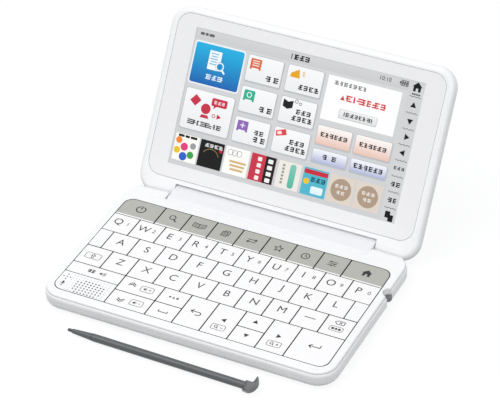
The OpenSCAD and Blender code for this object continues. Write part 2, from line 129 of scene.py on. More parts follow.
def driftColour(tree, point, first, second):
    # one colour that drifts to a near one over large patches, as moulded plastic does
    tone = addNode(tree, "ShaderNodeTexNoise", None,
                   {"Vector": point, "Scale": 1 / (housing["driftMm"] * mm), "Detail": 2.0})
    return paintOver(tree, tone.outputs["Fac"], first, second)


keyBoxes = [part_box(name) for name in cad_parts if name.startswith("key_")]
keySpareMm = 0.5    # the painted shade of the well reaches this far beyond the keys
keyField = {axis: (min(low[i] for low, high in keyBoxes) / mm - keySpareMm,
                   max(high[i] for low, high in keyBoxes) / mm + keySpareMm)
            for i, axis in enumerate("xy")}

# the well colour and its top height are painted shade for the well that the keys stand in
housing = {"white": "#f9fafb", "drift": "#f4f5f7", "driftMm": 30, "grainMm": 0.9, "bumpMm": 0.004,
           "bezel": "#f2f2f4", "hinge": "#f1f2f5", "seam": "#9fa2a5", "seamMm": 0.14,
           "paintedWellShade": "#1f2124", "paintedWellShadeTopMm": 9.45}
# painted shade: the silo's deep hole is coloured dark, and the low part of its mouth in the notch grey, as
# little light gets in
silo = {"x": (-60.0, 72.25), "y": -1.393, "z": 3.47, "reachMm": 2.02, "shade": "#3f4245",
        "mouthX": (69.0, 75.45), "mouthReachMm": 2.95, "mouthTopMm": 6.0, "mouthShade": "#9ea1a4"}


def makeHousingPlastic(name, hasSeam=True, hasPaintedWellShade=False, hasPaintedSiloShade=False):
    # gloss white ABS, injection moulded: soft reflections, fine orange peel, a dark line at the parting;
    # the well that the keys stand in gets painted shade, which draws the lines between them, and the silo
    # gets painted shade in its deep hole and its mouth
    material, tree, bsdf = newMaterial(name, {"IOR": 1.53, "Coat Weight": 0.12, "Coat Roughness": 0.08})
    point = addSurface(tree, bsdf, housing["grainMm"], housing["bumpMm"], (0.22, 0.34))
    place = addNode(tree, "ShaderNodeSeparateXYZ", None, {"Vector": point}).outputs
    colour = driftColour(tree, point, srgb(housing["white"]), srgb(housing["drift"]))
    # painted shade: the low mouth of the silo and its deep hole are coloured darker
    if hasPaintedSiloShade:
        mouth = bothOf(tree, between(tree, place["X"], *silo["mouthX"]),
                       nearPlane(tree, place["Y"], silo["y"], silo["mouthReachMm"]))
        low = nearPlane(tree, place["Z"], 0, silo["mouthTopMm"])
        colour = paintOver(tree, bothOf(tree, mouth, low), colour, srgb(silo["mouthShade"]))
        across = bothOf(tree, nearPlane(tree, place["Y"], silo["y"], silo["reachMm"]),
                        nearPlane(tree, place["Z"], silo["z"], silo["reachMm"]))
        deep = between(tree, place["X"], *silo["x"])
        colour = paintOver(tree, bothOf(tree, across, deep), colour, srgb(silo["shade"]))
    if hasSeam:
        seam = nearPlane(tree, place["Z"], deck["partingZ"], housing["seamMm"] / 2)
        colour = paintOver(tree, seam, colour, srgb(housing["seam"]))
    # painted shade: inside the key field, below the keys' tops, the frame is coloured dark where hardly any
    # light falls
    if hasPaintedWellShade:
        within = bothOf(tree, between(tree, place["X"], *keyField["x"]),
                        between(tree, place["Y"], *keyField["y"]))
        deep = nearPlane(tree, place["Z"], 0, housing["paintedWellShadeTopMm"])
        colour = paintOver(tree, bothOf(tree, within, deep), colour, srgb(housing["paintedWellShade"]))
    tree.links.new(colour, bsdf.inputs["Base Color"])
    return material


def makePlainPlastic(name, hexText, roughRange, grainMm=housing["grainMm"], bumpMm=housing["bumpMm"]):
    # moulded plastic without the parting line: satin where the range of roughness says so
    material, tree, bsdf = newMaterial(name, {"IOR": 1.53})
    point = addSurface(tree, bsdf, grainMm, bumpMm, roughRange)
    darker = [c * 0.975 for c in srgb(hexText)[:3]] + [1.0]
    tree.links.new(driftColour(tree, point, srgb(hexText), darker), bsdf.inputs["Base Color"])
    return material


def makeInkAndPaintedShade():
    # pad-printed ink: flat, a little uneven where the pad lifted; the same dark colour is also painted
    # shade for the speaker holes, and for the screw sinks, slots and groove underneath
    material, tree, bsdf = newMaterial("padPrintedInkAndPaintedShade", {"IOR": 1.48})
    addSurface(tree, bsdf, 0.25, 0.001, (0.45, 0.6), 3)
    bsdf.inputs["Base Color"].default_value = srgb("#1f2226")
    return material


display = {"cellMm": 0.25, "cellShade": 0.06, "dim": 0.45, "glow": 0.52}


def makePicture():
    # backlit LCD behind a smooth touch film: it gives its own light, and reflects a little;
    # its cells are drawn coarser than real ones, so that they show
    material, tree, bsdf = newMaterial("backlitDisplay", {"IOR": 1.5, "Roughness": 0.12,
                                                          "Specular IOR Level": 0.2,
                                                          "Emission Strength": display["glow"]})
    tint = addNode(tree, "ShaderNodeAttribute", {"attribute_name": "tint"}).outputs["Color"]
    cell = addNode(tree, "ShaderNodeTexVoronoi", None,
                   {"Vector": objectPoint(tree), "Scale": 1 / (display["cellMm"] * mm)})
    fine = addNode(tree, "ShaderNodeMapRange", None,
                   {"Value": cell.outputs["Distance"], "From Min": 0.0, "From Max": 0.8,
                    "To Min": 0.0, "To Max": display["cellShade"]})
    shown = paintOver(tree, fine.outputs["Result"], tint, [0, 0, 0, 1])
    tree.links.new(paintOver(tree, display["dim"], shown, [0, 0, 0, 1]), bsdf.inputs["Base Color"])
    tree.links.new(shown, bsdf.inputs["Emission Color"])
    return material


stylusLook = {"shaft": "#4e5255", "nib": "#34373a", "seam": "#2c2f31", "nibX": (-70.9, -50.9),
              "sleeveEndX": -39.8, "seamMm": 0.35}


def makeStylusPlastic():
    # satin grey acetal, moulded: a soft long highlight, a dark nib, and a fine joint where the sleeve ends
    material, tree, bsdf = newMaterial("satinGreyAcetal", {"IOR": 1.48, "Coat Weight": 0.35,
                                                           "Coat Roughness": 0.2})
    point = addSurface(tree, bsdf, 0.5, 0.003, (0.26, 0.38))
    place = addNode(tree, "ShaderNodeSeparateXYZ", None, {"Vector": point}).outputs
    seam = nearPlane(tree, place["X"], stylusLook["sleeveEndX"], stylusLook["seamMm"] / 2)
    nib = between(tree, place["X"], *stylusLook["nibX"])
    joined = paintOver(tree, seam, srgb(stylusLook["shaft"]), srgb(stylusLook["seam"]))
    tree.links.new(paintOver(tree, nib, joined, srgb(stylusLook["nib"])), bsdf.inputs["Base Color"])
    return material


board = {"mask": "#1f5a3a", "track": "#2f7a4e", "trackMm": 2.5,
         "socket": "#1c1d1f", "socketX": (-160.0, -60.0)}


def makeBoard():
    # FR4 circuit board: green solder mask with pale tracks, and the black bodies of the sockets at its left
    material, tree, bsdf = newMaterial("solderMask", {"IOR": 1.5, "Roughness": 0.4})
    point = objectPoint(tree)
    place = addNode(tree, "ShaderNodeSeparateXYZ", None, {"Vector": point}).outputs
    cell = addNode(tree, "ShaderNodeTexVoronoi", {"distance": "MANHATTAN"},
                   {"Vector": point, "Scale": 1 / (board["trackMm"] * mm)})
    green = paintOver(tree, cell.outputs["Distance"], srgb(board["mask"]), srgb(board["track"]))
    socket = between(tree, place["X"], *board["socketX"])
    tree.links.new(paintOver(tree, socket, green, srgb(board["socket"])), bsdf.inputs["Base Color"])
    return material


def makeRubber():
    # moulded rubber foot: dull, with a fine grain
    material, tree, bsdf = newMaterial("greyRubber", {"IOR": 1.5, "Specular IOR Level": 0.3})
    addSurface(tree, bsdf, 0.4, 0.02, (0.7, 0.85))
    bsdf.inputs["Base Color"].default_value = srgb("#8c8f91")
    return material


def makeSteel():
    # turned steel, plated: a bright metal with a fine grain that breaks up the light
    material, tree, bsdf = newMaterial("turnedSteel", {"Metallic": 1.0, "Base Color": srgb("#c9ccd0")})
    addSurface(tree, bsdf, 0.15, 0.002, (0.2, 0.32), 4)
    return material


materials = {
    "shell": makeHousingPlastic("glossWhiteAbsWithPaintedSiloShade", hasPaintedSiloShade=True),
    "frame": makeHousingPlastic("glossWhiteAbsWithPaintedWellShade", hasPaintedWellShade=True),
    "lidShell": makeHousingPlastic("glossWhiteAbsOfLid", hasSeam=False),
    "bezel": makePlainPlastic("satinWhiteAbs", housing["bezel"], (0.3, 0.42)),
    "hinge": makePlainPlastic("greyWhiteAbs", housing["hinge"], (0.28, 0.4)),
    "keyWhite": makePlainPlastic("whiteKeyPolycarbonate", "#fafafb", (0.3, 0.4), 0.6, 0.002),
    "keyGrey": makePlainPlastic("warmGreyKeyPaint", "#b4b5ae", (0.35, 0.48), 0.35, 0.002),
    # painted shade: the dark colour of the caps' sides, in the narrow gaps between keys
    "keySidePaintedShade": makePlainPlastic("paintedShadeKeySkirt", "#2c2f32", (0.5, 0.6), 0.6, 0.002),
    "inkAndPaintedShade": makeInkAndPaintedShade(),
    "picture": makePicture(),
    "stylus": makeStylusPlastic(),
    "board": makeBoard(),
    "rubber": makeRubber(),
    "steel": makeSteel(),
    "blackPlastic": makePlainPlastic("blackSocketPlastic", "#1c1d1f", (0.35, 0.5)),
}
print("materials made:", len(materials))

finishes = {
    "bottom_case": "shell", "keyboard_frame": "frame", "lid_cover": "lidShell", "lid_bezel": "bezel",
    "hinge_block": "hinge", "hinge_shafts": "steel", "display_panel": "blackPlastic",
    "main_board": "board", "battery_pack": "blackPlastic", "feet": "rubber", "stylus": "stylus",
}
for nodeName, finish in finishes.items():
    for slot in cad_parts[nodeName].material_slots:
        slot.link = "OBJECT"
        slot.material = materials[finish]


def drawTile(bm, x, y, w, h, radius=0.0):
    made = bmesh.ops.create_grid(bm, x_segments=1, y_segments=1, size=0.5)["verts"]
    place = Matrix.Translation((x, y, 0)) @ Matrix.Diagonal((w, h, 1, 1))
    bmesh.ops.transform(bm, verts=made, matrix=place)
    if radius:
        made = bmesh.ops.bevel(bm, geom=made, affect="VERTICES", offset=radius, segments=5,
                               profile=0.5, material=-1)["verts"]
    return made


def drawDisc(bm, x, y, radius, sides, z=0.0):
    return bmesh.ops.create_circle(bm, cap_ends=True, segments=sides, radius=radius,
                                   matrix=Matrix.Translation((x, y, z)))["verts"]


def drawShape(bm, points):
    made = [bm.verts.new((x, y, 0.0)) for x, y in points]
    face = bm.faces.new(made)
    if face.normal.z < 0:
        face.normal_flip()
    return made


def drawLine(bm, points, width, z=0.0, closed=False):
    # a stroke of even width along some points; very tight corners are cut short
    path = [Vector(p) for p in points]
    count = len(path)
    sides = []
    for i, p in enumerate(path):
        before = path[i - 1] if i or closed else p
        after = path[(i + 1) % count] if i < count - 1 or closed else p
        inward = (p - before).normalized() if p != before else (after - p).normalized()
        outward = (after - p).normalized() if after != p else inward
        middle = (inward + outward).normalized()
        across = Vector((-middle.y, middle.x))
        reach = width / 2 / max(0.4, across.dot(Vector((-inward.y, inward.x))))
        sides.append([bm.verts.new((*(p + across * way), z)) for way in (reach, -reach)])
    for i in range(count if closed else count - 1):
        a, b = sides[i], sides[(i + 1) % count]
        bm.faces.new([a[1], b[1], b[0], a[0]])
    return [v for pair in sides for v in pair]


def arcPoints(x, y, radius, start, end, count):
    return [(x + radius * math.cos(math.radians(start + (end - start) * i / (count - 1))),
             y + radius * math.sin(math.radians(start + (end - start) * i / (count - 1))))
            for i in range(count)]


def roundedOutline(x, y, w, h, radius, count):
    # the corners of a rounded rectangle, each drawn with some points
    inX, inY = w / 2 - radius, h / 2 - radius
    points = []
    for sx, sy, start in ((1, 1, 0), (-1, 1, 90), (-1, -1, 180), (1, -1, 270)):
        points += arcPoints(x + sx * inX, y + sy * inY, radius, start, start + 90, count)
    return points


def drawRing(bm, x, y, radius, width, start=0, end=360):
    whole = end - start >= 360
    points = arcPoints(x, y, radius, start, end, 28)
    return drawLine(bm, points[:-1] if whole else points, width, closed=whole)


def drawText(bm, words, x, y, size):
    curve = bpy.data.curves.new("print", "FONT")
    curve.body, curve.size = words, size
    curve.align_x, curve.align_y = "CENTER", "CENTER"
    curve.resolution_u = 8
    holder = bpy.data.objects.new("print", curve)
    flat = bpy.data.meshes.new_from_object(holder)
    drawn = set(bm.verts)
    bm.from_mesh(flat)
    made = [v for v in bm.verts if v not in drawn]
    middle = [(min(v.co[i] for v in made) + max(v.co[i] for v in made)) / 2 for i in (0, 1)]
    bmesh.ops.translate(bm, verts=made, vec=(x - middle[0], y - middle[1], 0))
    bpy.data.objects.remove(holder)
    bpy.data.curves.remove(curve)
    bpy.data.meshes.remove(flat)
    return made


signs = {"barBelowMm": 1.4, "barRound": 0.25, "strokeShare": 0.23, "uprightShare": 0.28,
         "lengths": (0.86, 1.0, 0.72, 0.94, 1.0, 0.8)}


def drawSign(bm, x, y, w, h, kind):
    # a made-up sign: three level strokes and an upright
    stroke = signs["strokeShare"] * h
    made = []
    for i in range(3):
        length = w * signs["lengths"][(kind + 2 * i) % len(signs["lengths"])]
        side = (w - length) / 2 * (-1) ** (kind + i)
        made += drawTile(bm, x + side, y + (i - 1) * (h - stroke) / 2, length, stroke)
    side = (kind % 3 - 1) * w * signs["uprightShare"]
    return made + drawTile(bm, x + side, y, stroke, h)


def drawBars(bm, x, y, widths, height, gap):
    # a row of made-up signs, or of plain bars where it is small
    cursor = x - (sum(widths) + gap * (len(widths) - 1)) / 2
    made = []
    for i, w in enumerate(widths):
        if height < signs["barBelowMm"]:
            made += drawTile(bm, cursor + w / 2, y, w, height, height * signs["barRound"])
        else:
            made += drawSign(bm, cursor + w / 2, y, w, height, i + len(widths))
        cursor += w + gap
    return made


def copyOfNode(nodeName):
    # a node's triangles, with the points that they share merged
    bm = bmesh.new()
    bm.from_mesh(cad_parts[nodeName].data)
    bmesh.ops.remove_doubles(bm, verts=bm.verts, dist=0.002 * mm)
    return bm


def cutAcross(bm, geom, place, across):
    bmesh.ops.bisect_plane(bm, geom=geom, dist=0.0001 * mm, plane_co=place, plane_no=across)


def addPiece(name, bm, place, parts, body):
    # turns a drawing or a solid into a piece that rides on a body
    bm.transform(place)
    mesh = bpy.data.meshes.new(name)
    bm.to_mesh(mesh)
    bm.free()
    stored = mesh.attributes.get("custom_normal")
    if stored:
        mesh.attributes.remove(stored)    # a changed copy of a node takes its normals from its own faces
    for part in parts:
        mesh.materials.append(materials[part])
    piece = bpy.data.objects.new(name, mesh)
    bpy.context.scene.collection.objects.link(piece)
    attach(piece, body)
    return piece


# both housings draw in towards the parting line between them: the lower shell's upper edge is a shoulder
shoulder = {"halfWidth": 75.5, "frontY": deck["frontEdgeY"], "rearY": 27.407, "cornerR": 10.5,
            "startZ": 6.4, "inMm": 0.8, "round": 0.865, "fadeMm": 1.6, "rimMm": 0.9, "rimFadeMm": 1.8,
            "cutZ": (6.4, 6.9, 7.3, 7.6, 7.85, 8.05, 8.2), "wallMm": 2.5, "creaseDegrees": 26}


def outlineInset(x, y):
    # distance inside the plan outline, and the way in
    radius = shoulder["cornerR"]
    midY = (shoulder["frontY"] + shoulder["rearY"]) / 2
    halfX, halfY = shoulder["halfWidth"] - radius, (shoulder["rearY"] - shoulder["frontY"]) / 2 - radius
    beyond = Vector((abs(x) - halfX, abs(y - midY) - halfY))
    wayX, wayY = -math.copysign(1, x), -math.copysign(1, y - midY)
    if beyond.x > 0 and beyond.y > 0:
        return radius - beyond.length, Vector((beyond.x * wayX, beyond.y * wayY)).normalized()
    if beyond.x > beyond.y:
        return radius - beyond.x, Vector((wayX, 0))
    return radius - beyond.y, Vector((0, wayY))


def drawnIn(depth, z, isRim):
    # how far a point of a housing moves inwards
    if isRim:
        fade = 1 - max(0.0, depth - shoulder["rimMm"]) / shoulder["rimFadeMm"]
        return shoulder["inMm"] * max(0.0, fade) if z > deck["partingZ"] + 0.02 or depth < 0.05 else 0.0
    rise = (z - shoulder["startZ"]) / (deck["partingZ"] - shoulder["startZ"])
    if rise <= 0:
        return 0.0
    curve, whole = (1 - math.sqrt(1 - shoulder["round"] * share * share) for share in (rise, 1.0))
    return shoulder["inMm"] * curve / whole * max(0.0, 1 - max(0.0, depth) / shoulder["fadeMm"])


def makeHousing(pieceName, nodeName, finish, isRim):
    bm = copyOfNode(nodeName)
    if not isRim:
        # the upright outer walls get rows of points to bend by
        for z in shoulder["cutZ"]:
            near = [f for f in bm.faces if abs(f.normal.z) < 0.99
                    and outlineInset(*(f.calc_center_median().xy / mm))[0] < shoulder["wallMm"]]
            edges, corners = {e for f in near for e in f.edges}, {v for f in near for v in f.verts}
            cutAcross(bm, near + list(edges) + list(corners), (0, 0, z * mm), (0, 0, 1))
    lowest = deck["partingZ"] - 0.01 if isRim else shoulder["startZ"]
    for v in bm.verts:
        if v.co.z / mm > lowest:
            depth, inward = outlineInset(v.co.x / mm, v.co.y / mm)
            if depth > -0.05:    # the hinge lugs stand outside the outline and stay
                reach = drawnIn(depth, v.co.z / mm, isRim) * mm
                v.co.x += inward.x * reach
                v.co.y += inward.y * reach
    bm.normal_update()
    for face in bm.faces:
        face.smooth = max(abs(c) for c in face.normal) < 0.9995    # faces square to an axis stay flat
    for edge in bm.edges:
        edge.smooth = edge.calc_face_angle(math.pi) < math.radians(shoulder["creaseDegrees"])
    piece = addPiece(pieceName, bm, Matrix.Identity(4), [finish], "base")
    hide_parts(nodeName)
    return piece


makeHousing("lowerHousing", "bottom_case", "shell", False)
makeHousing("keyDeck", "keyboard_frame", "frame", True)
print("housings made")


keyCap = {"edgeMm": 0.15, "greyEdgeMm": 0.2, "edgeSegments": 2, "frontStripMm": 0.65, "printRiseMm": 0.02,
          "letterMm": 6.1, "digitMm": 3.5, "letterShift": (0.0, 0.9), "pairShift": (-1.9, 0.9),
          "digitShift": (3.4, 0.95), "frameRound": 0.9, "frameLine": 0.28,
          "sideShade": 0.8, "endShade": 0.3}    # how level a face may lie and still get the painted shade of the gaps


def drawFrame(bm, x, y, w, h):
    # thin rounded outline round the second use of a key
    drawLine(bm, roundedOutline(x, y, w, h, keyCap["frameRound"], 6), keyCap["frameLine"], closed=True)


def drawPower(bm):
    drawRing(bm, 0, 0.3, 2.3, 0.6, start=112, end=428)
    drawTile(bm, 0, 1.7, 0.6, 2.4)


def drawHouse(bm, x=0.0, y=0.0):
    points = [(-2.6, 0.4), (0, 2.7), (2.6, 0.4), (1.9, 0.4), (1.9, -1.9), (0.6, -1.9), (0.6, -0.3),
              (-0.6, -0.3), (-0.6, -1.9), (-1.9, -1.9), (-1.9, 0.4)]
    return drawShape(bm, [(x + px, y + py) for px, py in points])


def drawMagnifier(bm):
    drawRing(bm, -0.6, 1.0, 1.5, 0.5)
    drawLine(bm, [(0.5, -0.1), (2.1, -1.7)], 0.7)


def drawOpenBook(bm):
    for side in (-1, 1):
        drawLine(bm, [(0, -1.3), (side * 3.2, -0.8), (side * 3.2, 2.0), (0, 1.5)], 0.42, closed=True)
        for i in (0, 1):
            drawLine(bm, [(side * 0.7, 0.6 - i * 0.9), (side * 2.5, 0.9 - i * 0.9)], 0.32)


def drawPages(bm):
    drawLine(bm, [(-1.7, -1.7), (1.1, -1.7), (1.1, 1.4), (-1.7, 1.4)], 0.42, closed=True)
    drawLine(bm, [(-0.7, 1.6), (-0.7, 2.3), (2.0, 2.3), (2.0, -0.9), (1.3, -0.9)], 0.42)
    for i in range(3):
        drawTile(bm, -0.3, 0.6 - i * 0.75, 1.7, 0.32)


def drawTwoWays(bm):
    for side in (-1, 1):
        y = 0.3 + side * 0.85
        drawLine(bm, [(-2.3, y), (2.3, y)], 0.44)
        drawLine(bm, [(side * 1.3, y + 0.75), (side * 2.4, y), (side * 1.3, y - 0.75)], 0.44)


def drawStar(bm):
    points = [(r * math.sin(math.radians(36 * i)), 0.3 + r * math.cos(math.radians(36 * i)))
              for i, r in enumerate([2.3, 1.0] * 5)]
    drawLine(bm, points, 0.42, closed=True)


def drawClock(bm):
    drawRing(bm, 0, 0.3, 2.0, 0.46)
    drawLine(bm, [(0, 1.6), (0, 0.3), (0.95, -0.3)], 0.44)


def drawSliders(bm):
    for i, knob in enumerate((-1.1, 0.9, -0.3)):
        y = 1.6 - i * 1.3
        drawTile(bm, 0, y, 4.6, 0.36)
        drawDisc(bm, knob, y, 0.52, 14)


def drawShift(bm):
    drawFrame(bm, 0, -0.3, 8.0, 4.0)
    arrow = [(-1.1, 0.0), (0, 1.1), (1.1, 0.0), (0.5, 0.0), (0.5, -1.6), (-0.5, -1.6), (-0.5, 0.0)]
    drawLine(bm, arrow, 0.34, closed=True)


def drawDash(bm):
    drawTile(bm, 0, 0.9, 5.6, 0.5, 0.15)


def drawDelete(bm):
    drawLine(bm, [(-2.3, 3.1), (-1.1, 4.3), (2.3, 4.3), (2.3, 1.9), (-1.1, 1.9)], 0.38, closed=True)
    for slope in (-1, 1):
        drawLine(bm, [(-0.1, 3.1 - slope * 0.6), (1.1, 3.1 + slope * 0.6)], 0.36)
    drawFrame(bm, 0, -1.4, 6.6, 3.2)
    drawBars(bm, 0, -1.4, [1.5, 1.1, 1.5], 1.3, 0.35)


def drawSpeaker(bm, x, y, waves, size):
    drawShape(bm, [(x + px * size, y + py * size) for px, py in
                   ((-1.5, 0.5), (-0.8, 0.5), (0.1, 1.3), (0.1, -1.3), (-0.8, -0.5), (-1.5, -0.5))])
    for i in range(waves):
        drawRing(bm, x, y, (0.8 + 0.75 * i) * size, 0.32 * size, start=-48, end=48)


def drawVoice(bm):
    drawBars(bm, -2.2, 0.2, [1.9, 1.6], 2.3, 0.5)
    drawSpeaker(bm, 3.4, 0.2, 3, 0.85)


def drawChevrons(bm, way):
    for i in (0, 1):
        y = way * (0.2 + i * 1.1)
        drawLine(bm, [(-6.2, y - way * 0.5), (-4.4, y + way * 0.7), (-2.6, y - way * 0.5)], 0.5)
    drawFrame(bm, 3.7, 0, 6.6, 3.8)
    drawSpeaker(bm, 3.0, 0, 1, 0.8)
    drawTile(bm, 5.2, 0, 1.1, 0.34)
    if way > 0:
        drawTile(bm, 5.2, 0, 0.34, 1.1)


def drawSymbol(bm):
    drawDisc(bm, -1.9, 0.0, 0.55, 14)
    drawShape(bm, [(-0.7, -0.6), (0.7, -0.6), (0, 0.75)])
    drawTile(bm, 1.95, 0.05, 1.15, 1.15)


def drawSpace(bm):
    drawLine(bm, [(-2.2, 0.5), (-2.2, -0.7), (2.2, -0.7), (2.2, 0.5)], 0.48)


def drawBack(bm):
    drawLine(bm, [(-1.2, 1.9), (-2.6, 0.7), (-1.2, -0.5)], 0.5)
    drawLine(bm, [(-2.4, 0.7), (1.6, 0.7)] + arcPoints(1.6, -0.4, 1.1, 90, -90, 9) + [(0.2, -1.5)], 0.5)


def drawTriangle(bm, x, y, turn):
    ahead = Vector((math.cos(math.radians(turn)), math.sin(math.radians(turn)))) * 1.15
    across = Vector((-ahead.y, ahead.x)).normalized() * 1.4
    middle = Vector((x, y))
    drawShape(bm, [middle + ahead, middle - ahead + across, middle - ahead - across])


def drawZoomArrow(bm, turn, plus):
    drawTriangle(bm, 0, 0.6, turn)
    drawFrame(bm, 0, -5.0, 6.8, 3.6)
    drawRing(bm, -1.2, -4.8, 0.75, 0.34)
    drawLine(bm, [(-0.65, -5.35), (0.0, -6.0)], 0.38)
    drawTile(bm, 1.6, -5.0, 1.3, 0.36)
    if plus:
        drawTile(bm, 1.6, -5.0, 0.36, 1.3)


def drawEnter(bm):
    drawLine(bm, [(-1.4, 2.0), (-2.8, 0.7), (-1.4, -0.6)], 0.5)
    drawLine(bm, [(-2.6, 0.7), (2.6, 0.7), (2.6, 2.6)], 0.5)


keyIcons = {
    "power": drawPower, "home": drawHouse, "menu_1": drawMagnifier, "menu_2": drawOpenBook,
    "menu_3": drawPages, "menu_4": drawTwoWays, "menu_5": drawStar, "menu_6": drawClock,
    "menu_7": drawSliders, "shift": drawShift, "dash": drawDash, "delete": drawDelete, "voice": drawVoice,
    "page_up": drawChevrons, "page_down": drawChevrons, "symbol": drawSymbol, "space": drawSpace,
    "back": drawBack, "left": drawZoomArrow, "right": drawZoomArrow, "up": drawTriangle,
    "down": drawTriangle, "enter": drawEnter,
}
iconSettings = {"page_up": (1,), "page_down": (-1,), "left": (180, False), "right": (0, True),
                "up": (0, 0.3, 90), "down": (0, 0.3, -90)}
digitKeys = dict(zip("qwertyuiop", "1234567890"))


def drawKeyPrint(bm, keyName):
    if keyName in keyIcons:
        keyIcons[keyName](bm, *iconSettings.get(keyName, ()))
    elif keyName in digitKeys:
        drawText(bm, keyName.upper(), *keyCap["pairShift"], keyCap["letterMm"])
        drawText(bm, digitKeys[keyName], *keyCap["digitShift"], keyCap["digitMm"])
    else:
        drawText(bm, keyName.upper(), *keyCap["letterShift"], keyCap["letterMm"])


def makeKey(nodeName):
    low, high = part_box(nodeName)
    keyName = nodeName[len("key_"):]
    bm = copyOfNode(nodeName)
    bmesh.ops.dissolve_limit(bm, angle_limit=math.radians(0.5), verts=bm.verts, edges=bm.edges)
    grey = keyName.startswith("menu") or keyName in ("power", "home")
    rim = [e for e in bm.edges if all(v.co.z > high[2] - 0.01 * mm for v in e.verts)]
    bmesh.ops.bevel(bm, geom=rim, affect="EDGES", offset=keyCap["greyEdgeMm" if grey else "edgeMm"] * mm,
                    segments=keyCap["edgeSegments"], profile=0.5, material=-1)
    frontStripEnd = low[1] + keyCap["frontStripMm"] * mm
    if grey:
        cutAcross(bm, bm.verts[:] + bm.edges[:] + bm.faces[:], (0, frontStripEnd, 0), (0, 1, 0))
    capFaces = set(bm.faces)
    for face in capFaces:
        face.smooth = face.normal.z < 0.999
        shade = keyCap["sideShade" if abs(face.normal.x) > abs(face.normal.y) else "endShade"]
        if face.normal.z < shade:
            face.material_index = 2    # painted shade: the sides are coloured dark, as they lie in the shade of the narrow gap
        elif grey and face.calc_center_median().y < frontStripEnd:
            face.material_index = 3    # a white strip along the front edge of the grey cap
    mark = bmesh.new()
    drawKeyPrint(mark, keyName)
    middle = Matrix.Translation(((low[0] + high[0]) / 2, (low[1] + high[1]) / 2,
                                 high[2] + keyCap["printRiseMm"] * mm))
    mark.transform(middle @ toMetres)
    flat = bpy.data.meshes.new("flat")
    mark.to_mesh(flat)
    mark.free()
    bm.from_mesh(flat)
    bpy.data.meshes.remove(flat)
    for face in bm.faces:
        if face not in capFaces:
            face.material_index = 1
    finishNames = ["keyGrey" if grey else "keyWhite", "inkAndPaintedShade", "keySidePaintedShade", "keyWhite"]
    piece = addPiece(keyName + "Key", bm, Matrix.Identity(4), finishNames[:4 if grey else 3],
                     nodeName)
    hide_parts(nodeName)
    return piece


for nodeName in sorted(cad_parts):
    if nodeName.startswith("key_"):
        makeKey(nodeName)
print("keys made")


# places on the lid: x from its middle and y from the hinge axis; each layer lies above the one before
screen = {"left": -60.9, "right": 60.9, "low": 13.2, "high": 81.7, "layerMm": 0.02}


def paint(sheet, verts, low, high=None):
    # colours what was drawn, with a run from one colour to the other where two are given
    sheet["count"] += 1
    height = screen["layerMm"] * sheet["layer"]
    ends = [min(v.co.y for v in verts), max(v.co.y for v in verts)]
    first, last = srgb(low), srgb(high or low)
    for face in {f for v in verts for f in v.link_faces}:
        for corner in face.loops:
            share = (corner.vert.co.y - ends[0]) / max(1e-6, ends[1] - ends[0])
            corner[sheet["tint"]] = [a + (b - a) * share for a, b in zip(first, last)]
    for v in verts:
        v.co.z = height


def startSheet():
    bm = bmesh.new()
    return {"bm": bm, "tint": bm.loops.layers.float_color.new("tint"), "layer": 1, "count": 0}


def paintTile(sheet, x0, y0, x1, y1, radius, low, high, edge="#b4b8bc", drop="#bfc2c6"):
    # button with a soft shadow below it, a fine edge and a face that may run from one colour to another
    bm = sheet["bm"]
    w, h, x, y = x1 - x0, y1 - y0, (x0 + x1) / 2, (y0 + y1) / 2
    sheet["layer"] = 2
    if drop:
        paint(sheet, drawTile(bm, x + 0.25, y - 0.35, w + 0.5, h + 0.5, radius + 0.2), drop)
    sheet["layer"] = 3
    paint(sheet, drawTile(bm, x, y, w, h, radius), edge)
    sheet["layer"] = 4
    paint(sheet, drawTile(bm, x, y, w - 0.5, h - 0.5, radius - 0.2), low, high)
    sheet["layer"] = 5


def paintBars(sheet, x, y, widths, height, gap, hexText):
    paint(sheet, drawBars(sheet["bm"], x, y, widths, height, gap), hexText)


def paintTopBar(sheet):
    bm = sheet["bm"]
    sheet["layer"] = 2
    paint(sheet, drawTile(bm, -4.0, 78.9, 113.5, 5.2), "#cbcdce", "#d4d6d7")
    sheet["layer"] = 3
    paintBars(sheet, -54.6, 79.2, [2.2, 1.6, 2.8], 1.3, 0.5, "#5c6063")
    for x in (-8.8, -6.4):
        paint(sheet, drawLine(bm, [(x, 80.2), (x, 77.7)], 0.45), "#0a0b0c")
    paintBars(sheet, -3.4, 78.95, [2.4, 2.4, 2.4], 2.5, 0.5, "#0a0b0c")
    paint(sheet, drawText(bm, "10:10", 40.6, 79.3, 2.9), "#141516")
    battery = [(48.6, 78.1), (52.2, 78.1), (52.2, 80.5), (48.6, 80.5)]
    paint(sheet, drawLine(bm, battery, 0.3, closed=True), "#141516")
    paint(sheet, drawTile(bm, 48.1, 79.3, 0.5, 1.1), "#141516")
    for i in range(3):
        paint(sheet, drawTile(bm, 49.4 + i * 1.05, 79.3, 0.7, 1.6), "#141516")


def paintSearchTile(sheet):
    bm = sheet["bm"]
    sheet["layer"] = 1.5
    paint(sheet, drawTile(bm, -46.2, 65.0, 27.6, 21.2, 1.6), "#f6f8fa")
    paintTile(sheet, -59.6, 54.8, -32.8, 75.2, 1.3, "#1a62b2", "#22b3e4", "#f2f6f8", None)
    sheet["layer"] = 6
    paint(sheet, drawTile(bm, -48.0, 67.6, 6.6, 9.4, 0.3), "#f4f9fc")
    sheet["layer"] = 7
    for i in range(5):
        paint(sheet, drawTile(bm, -48.4, 70.9 - i * 1.3, 4.2 - (i % 2), 0.5), "#6bb4da")
    paint(sheet, drawDisc(bm, -44.6, 65.2, 2.35, 28), "#1590cc")
    sheet["layer"] = 8
    paint(sheet, drawRing(bm, -44.6, 65.2, 1.9, 0.6), "#f4f9fc")
    paint(sheet, drawLine(bm, [(-43.2, 63.8), (-41.6, 62.2)], 0.9), "#f4f9fc")
    paintBars(sheet, -46.4, 59.2, [2.8, 2.2, 2.8], 2.4, 0.7, "#e9f3f9")


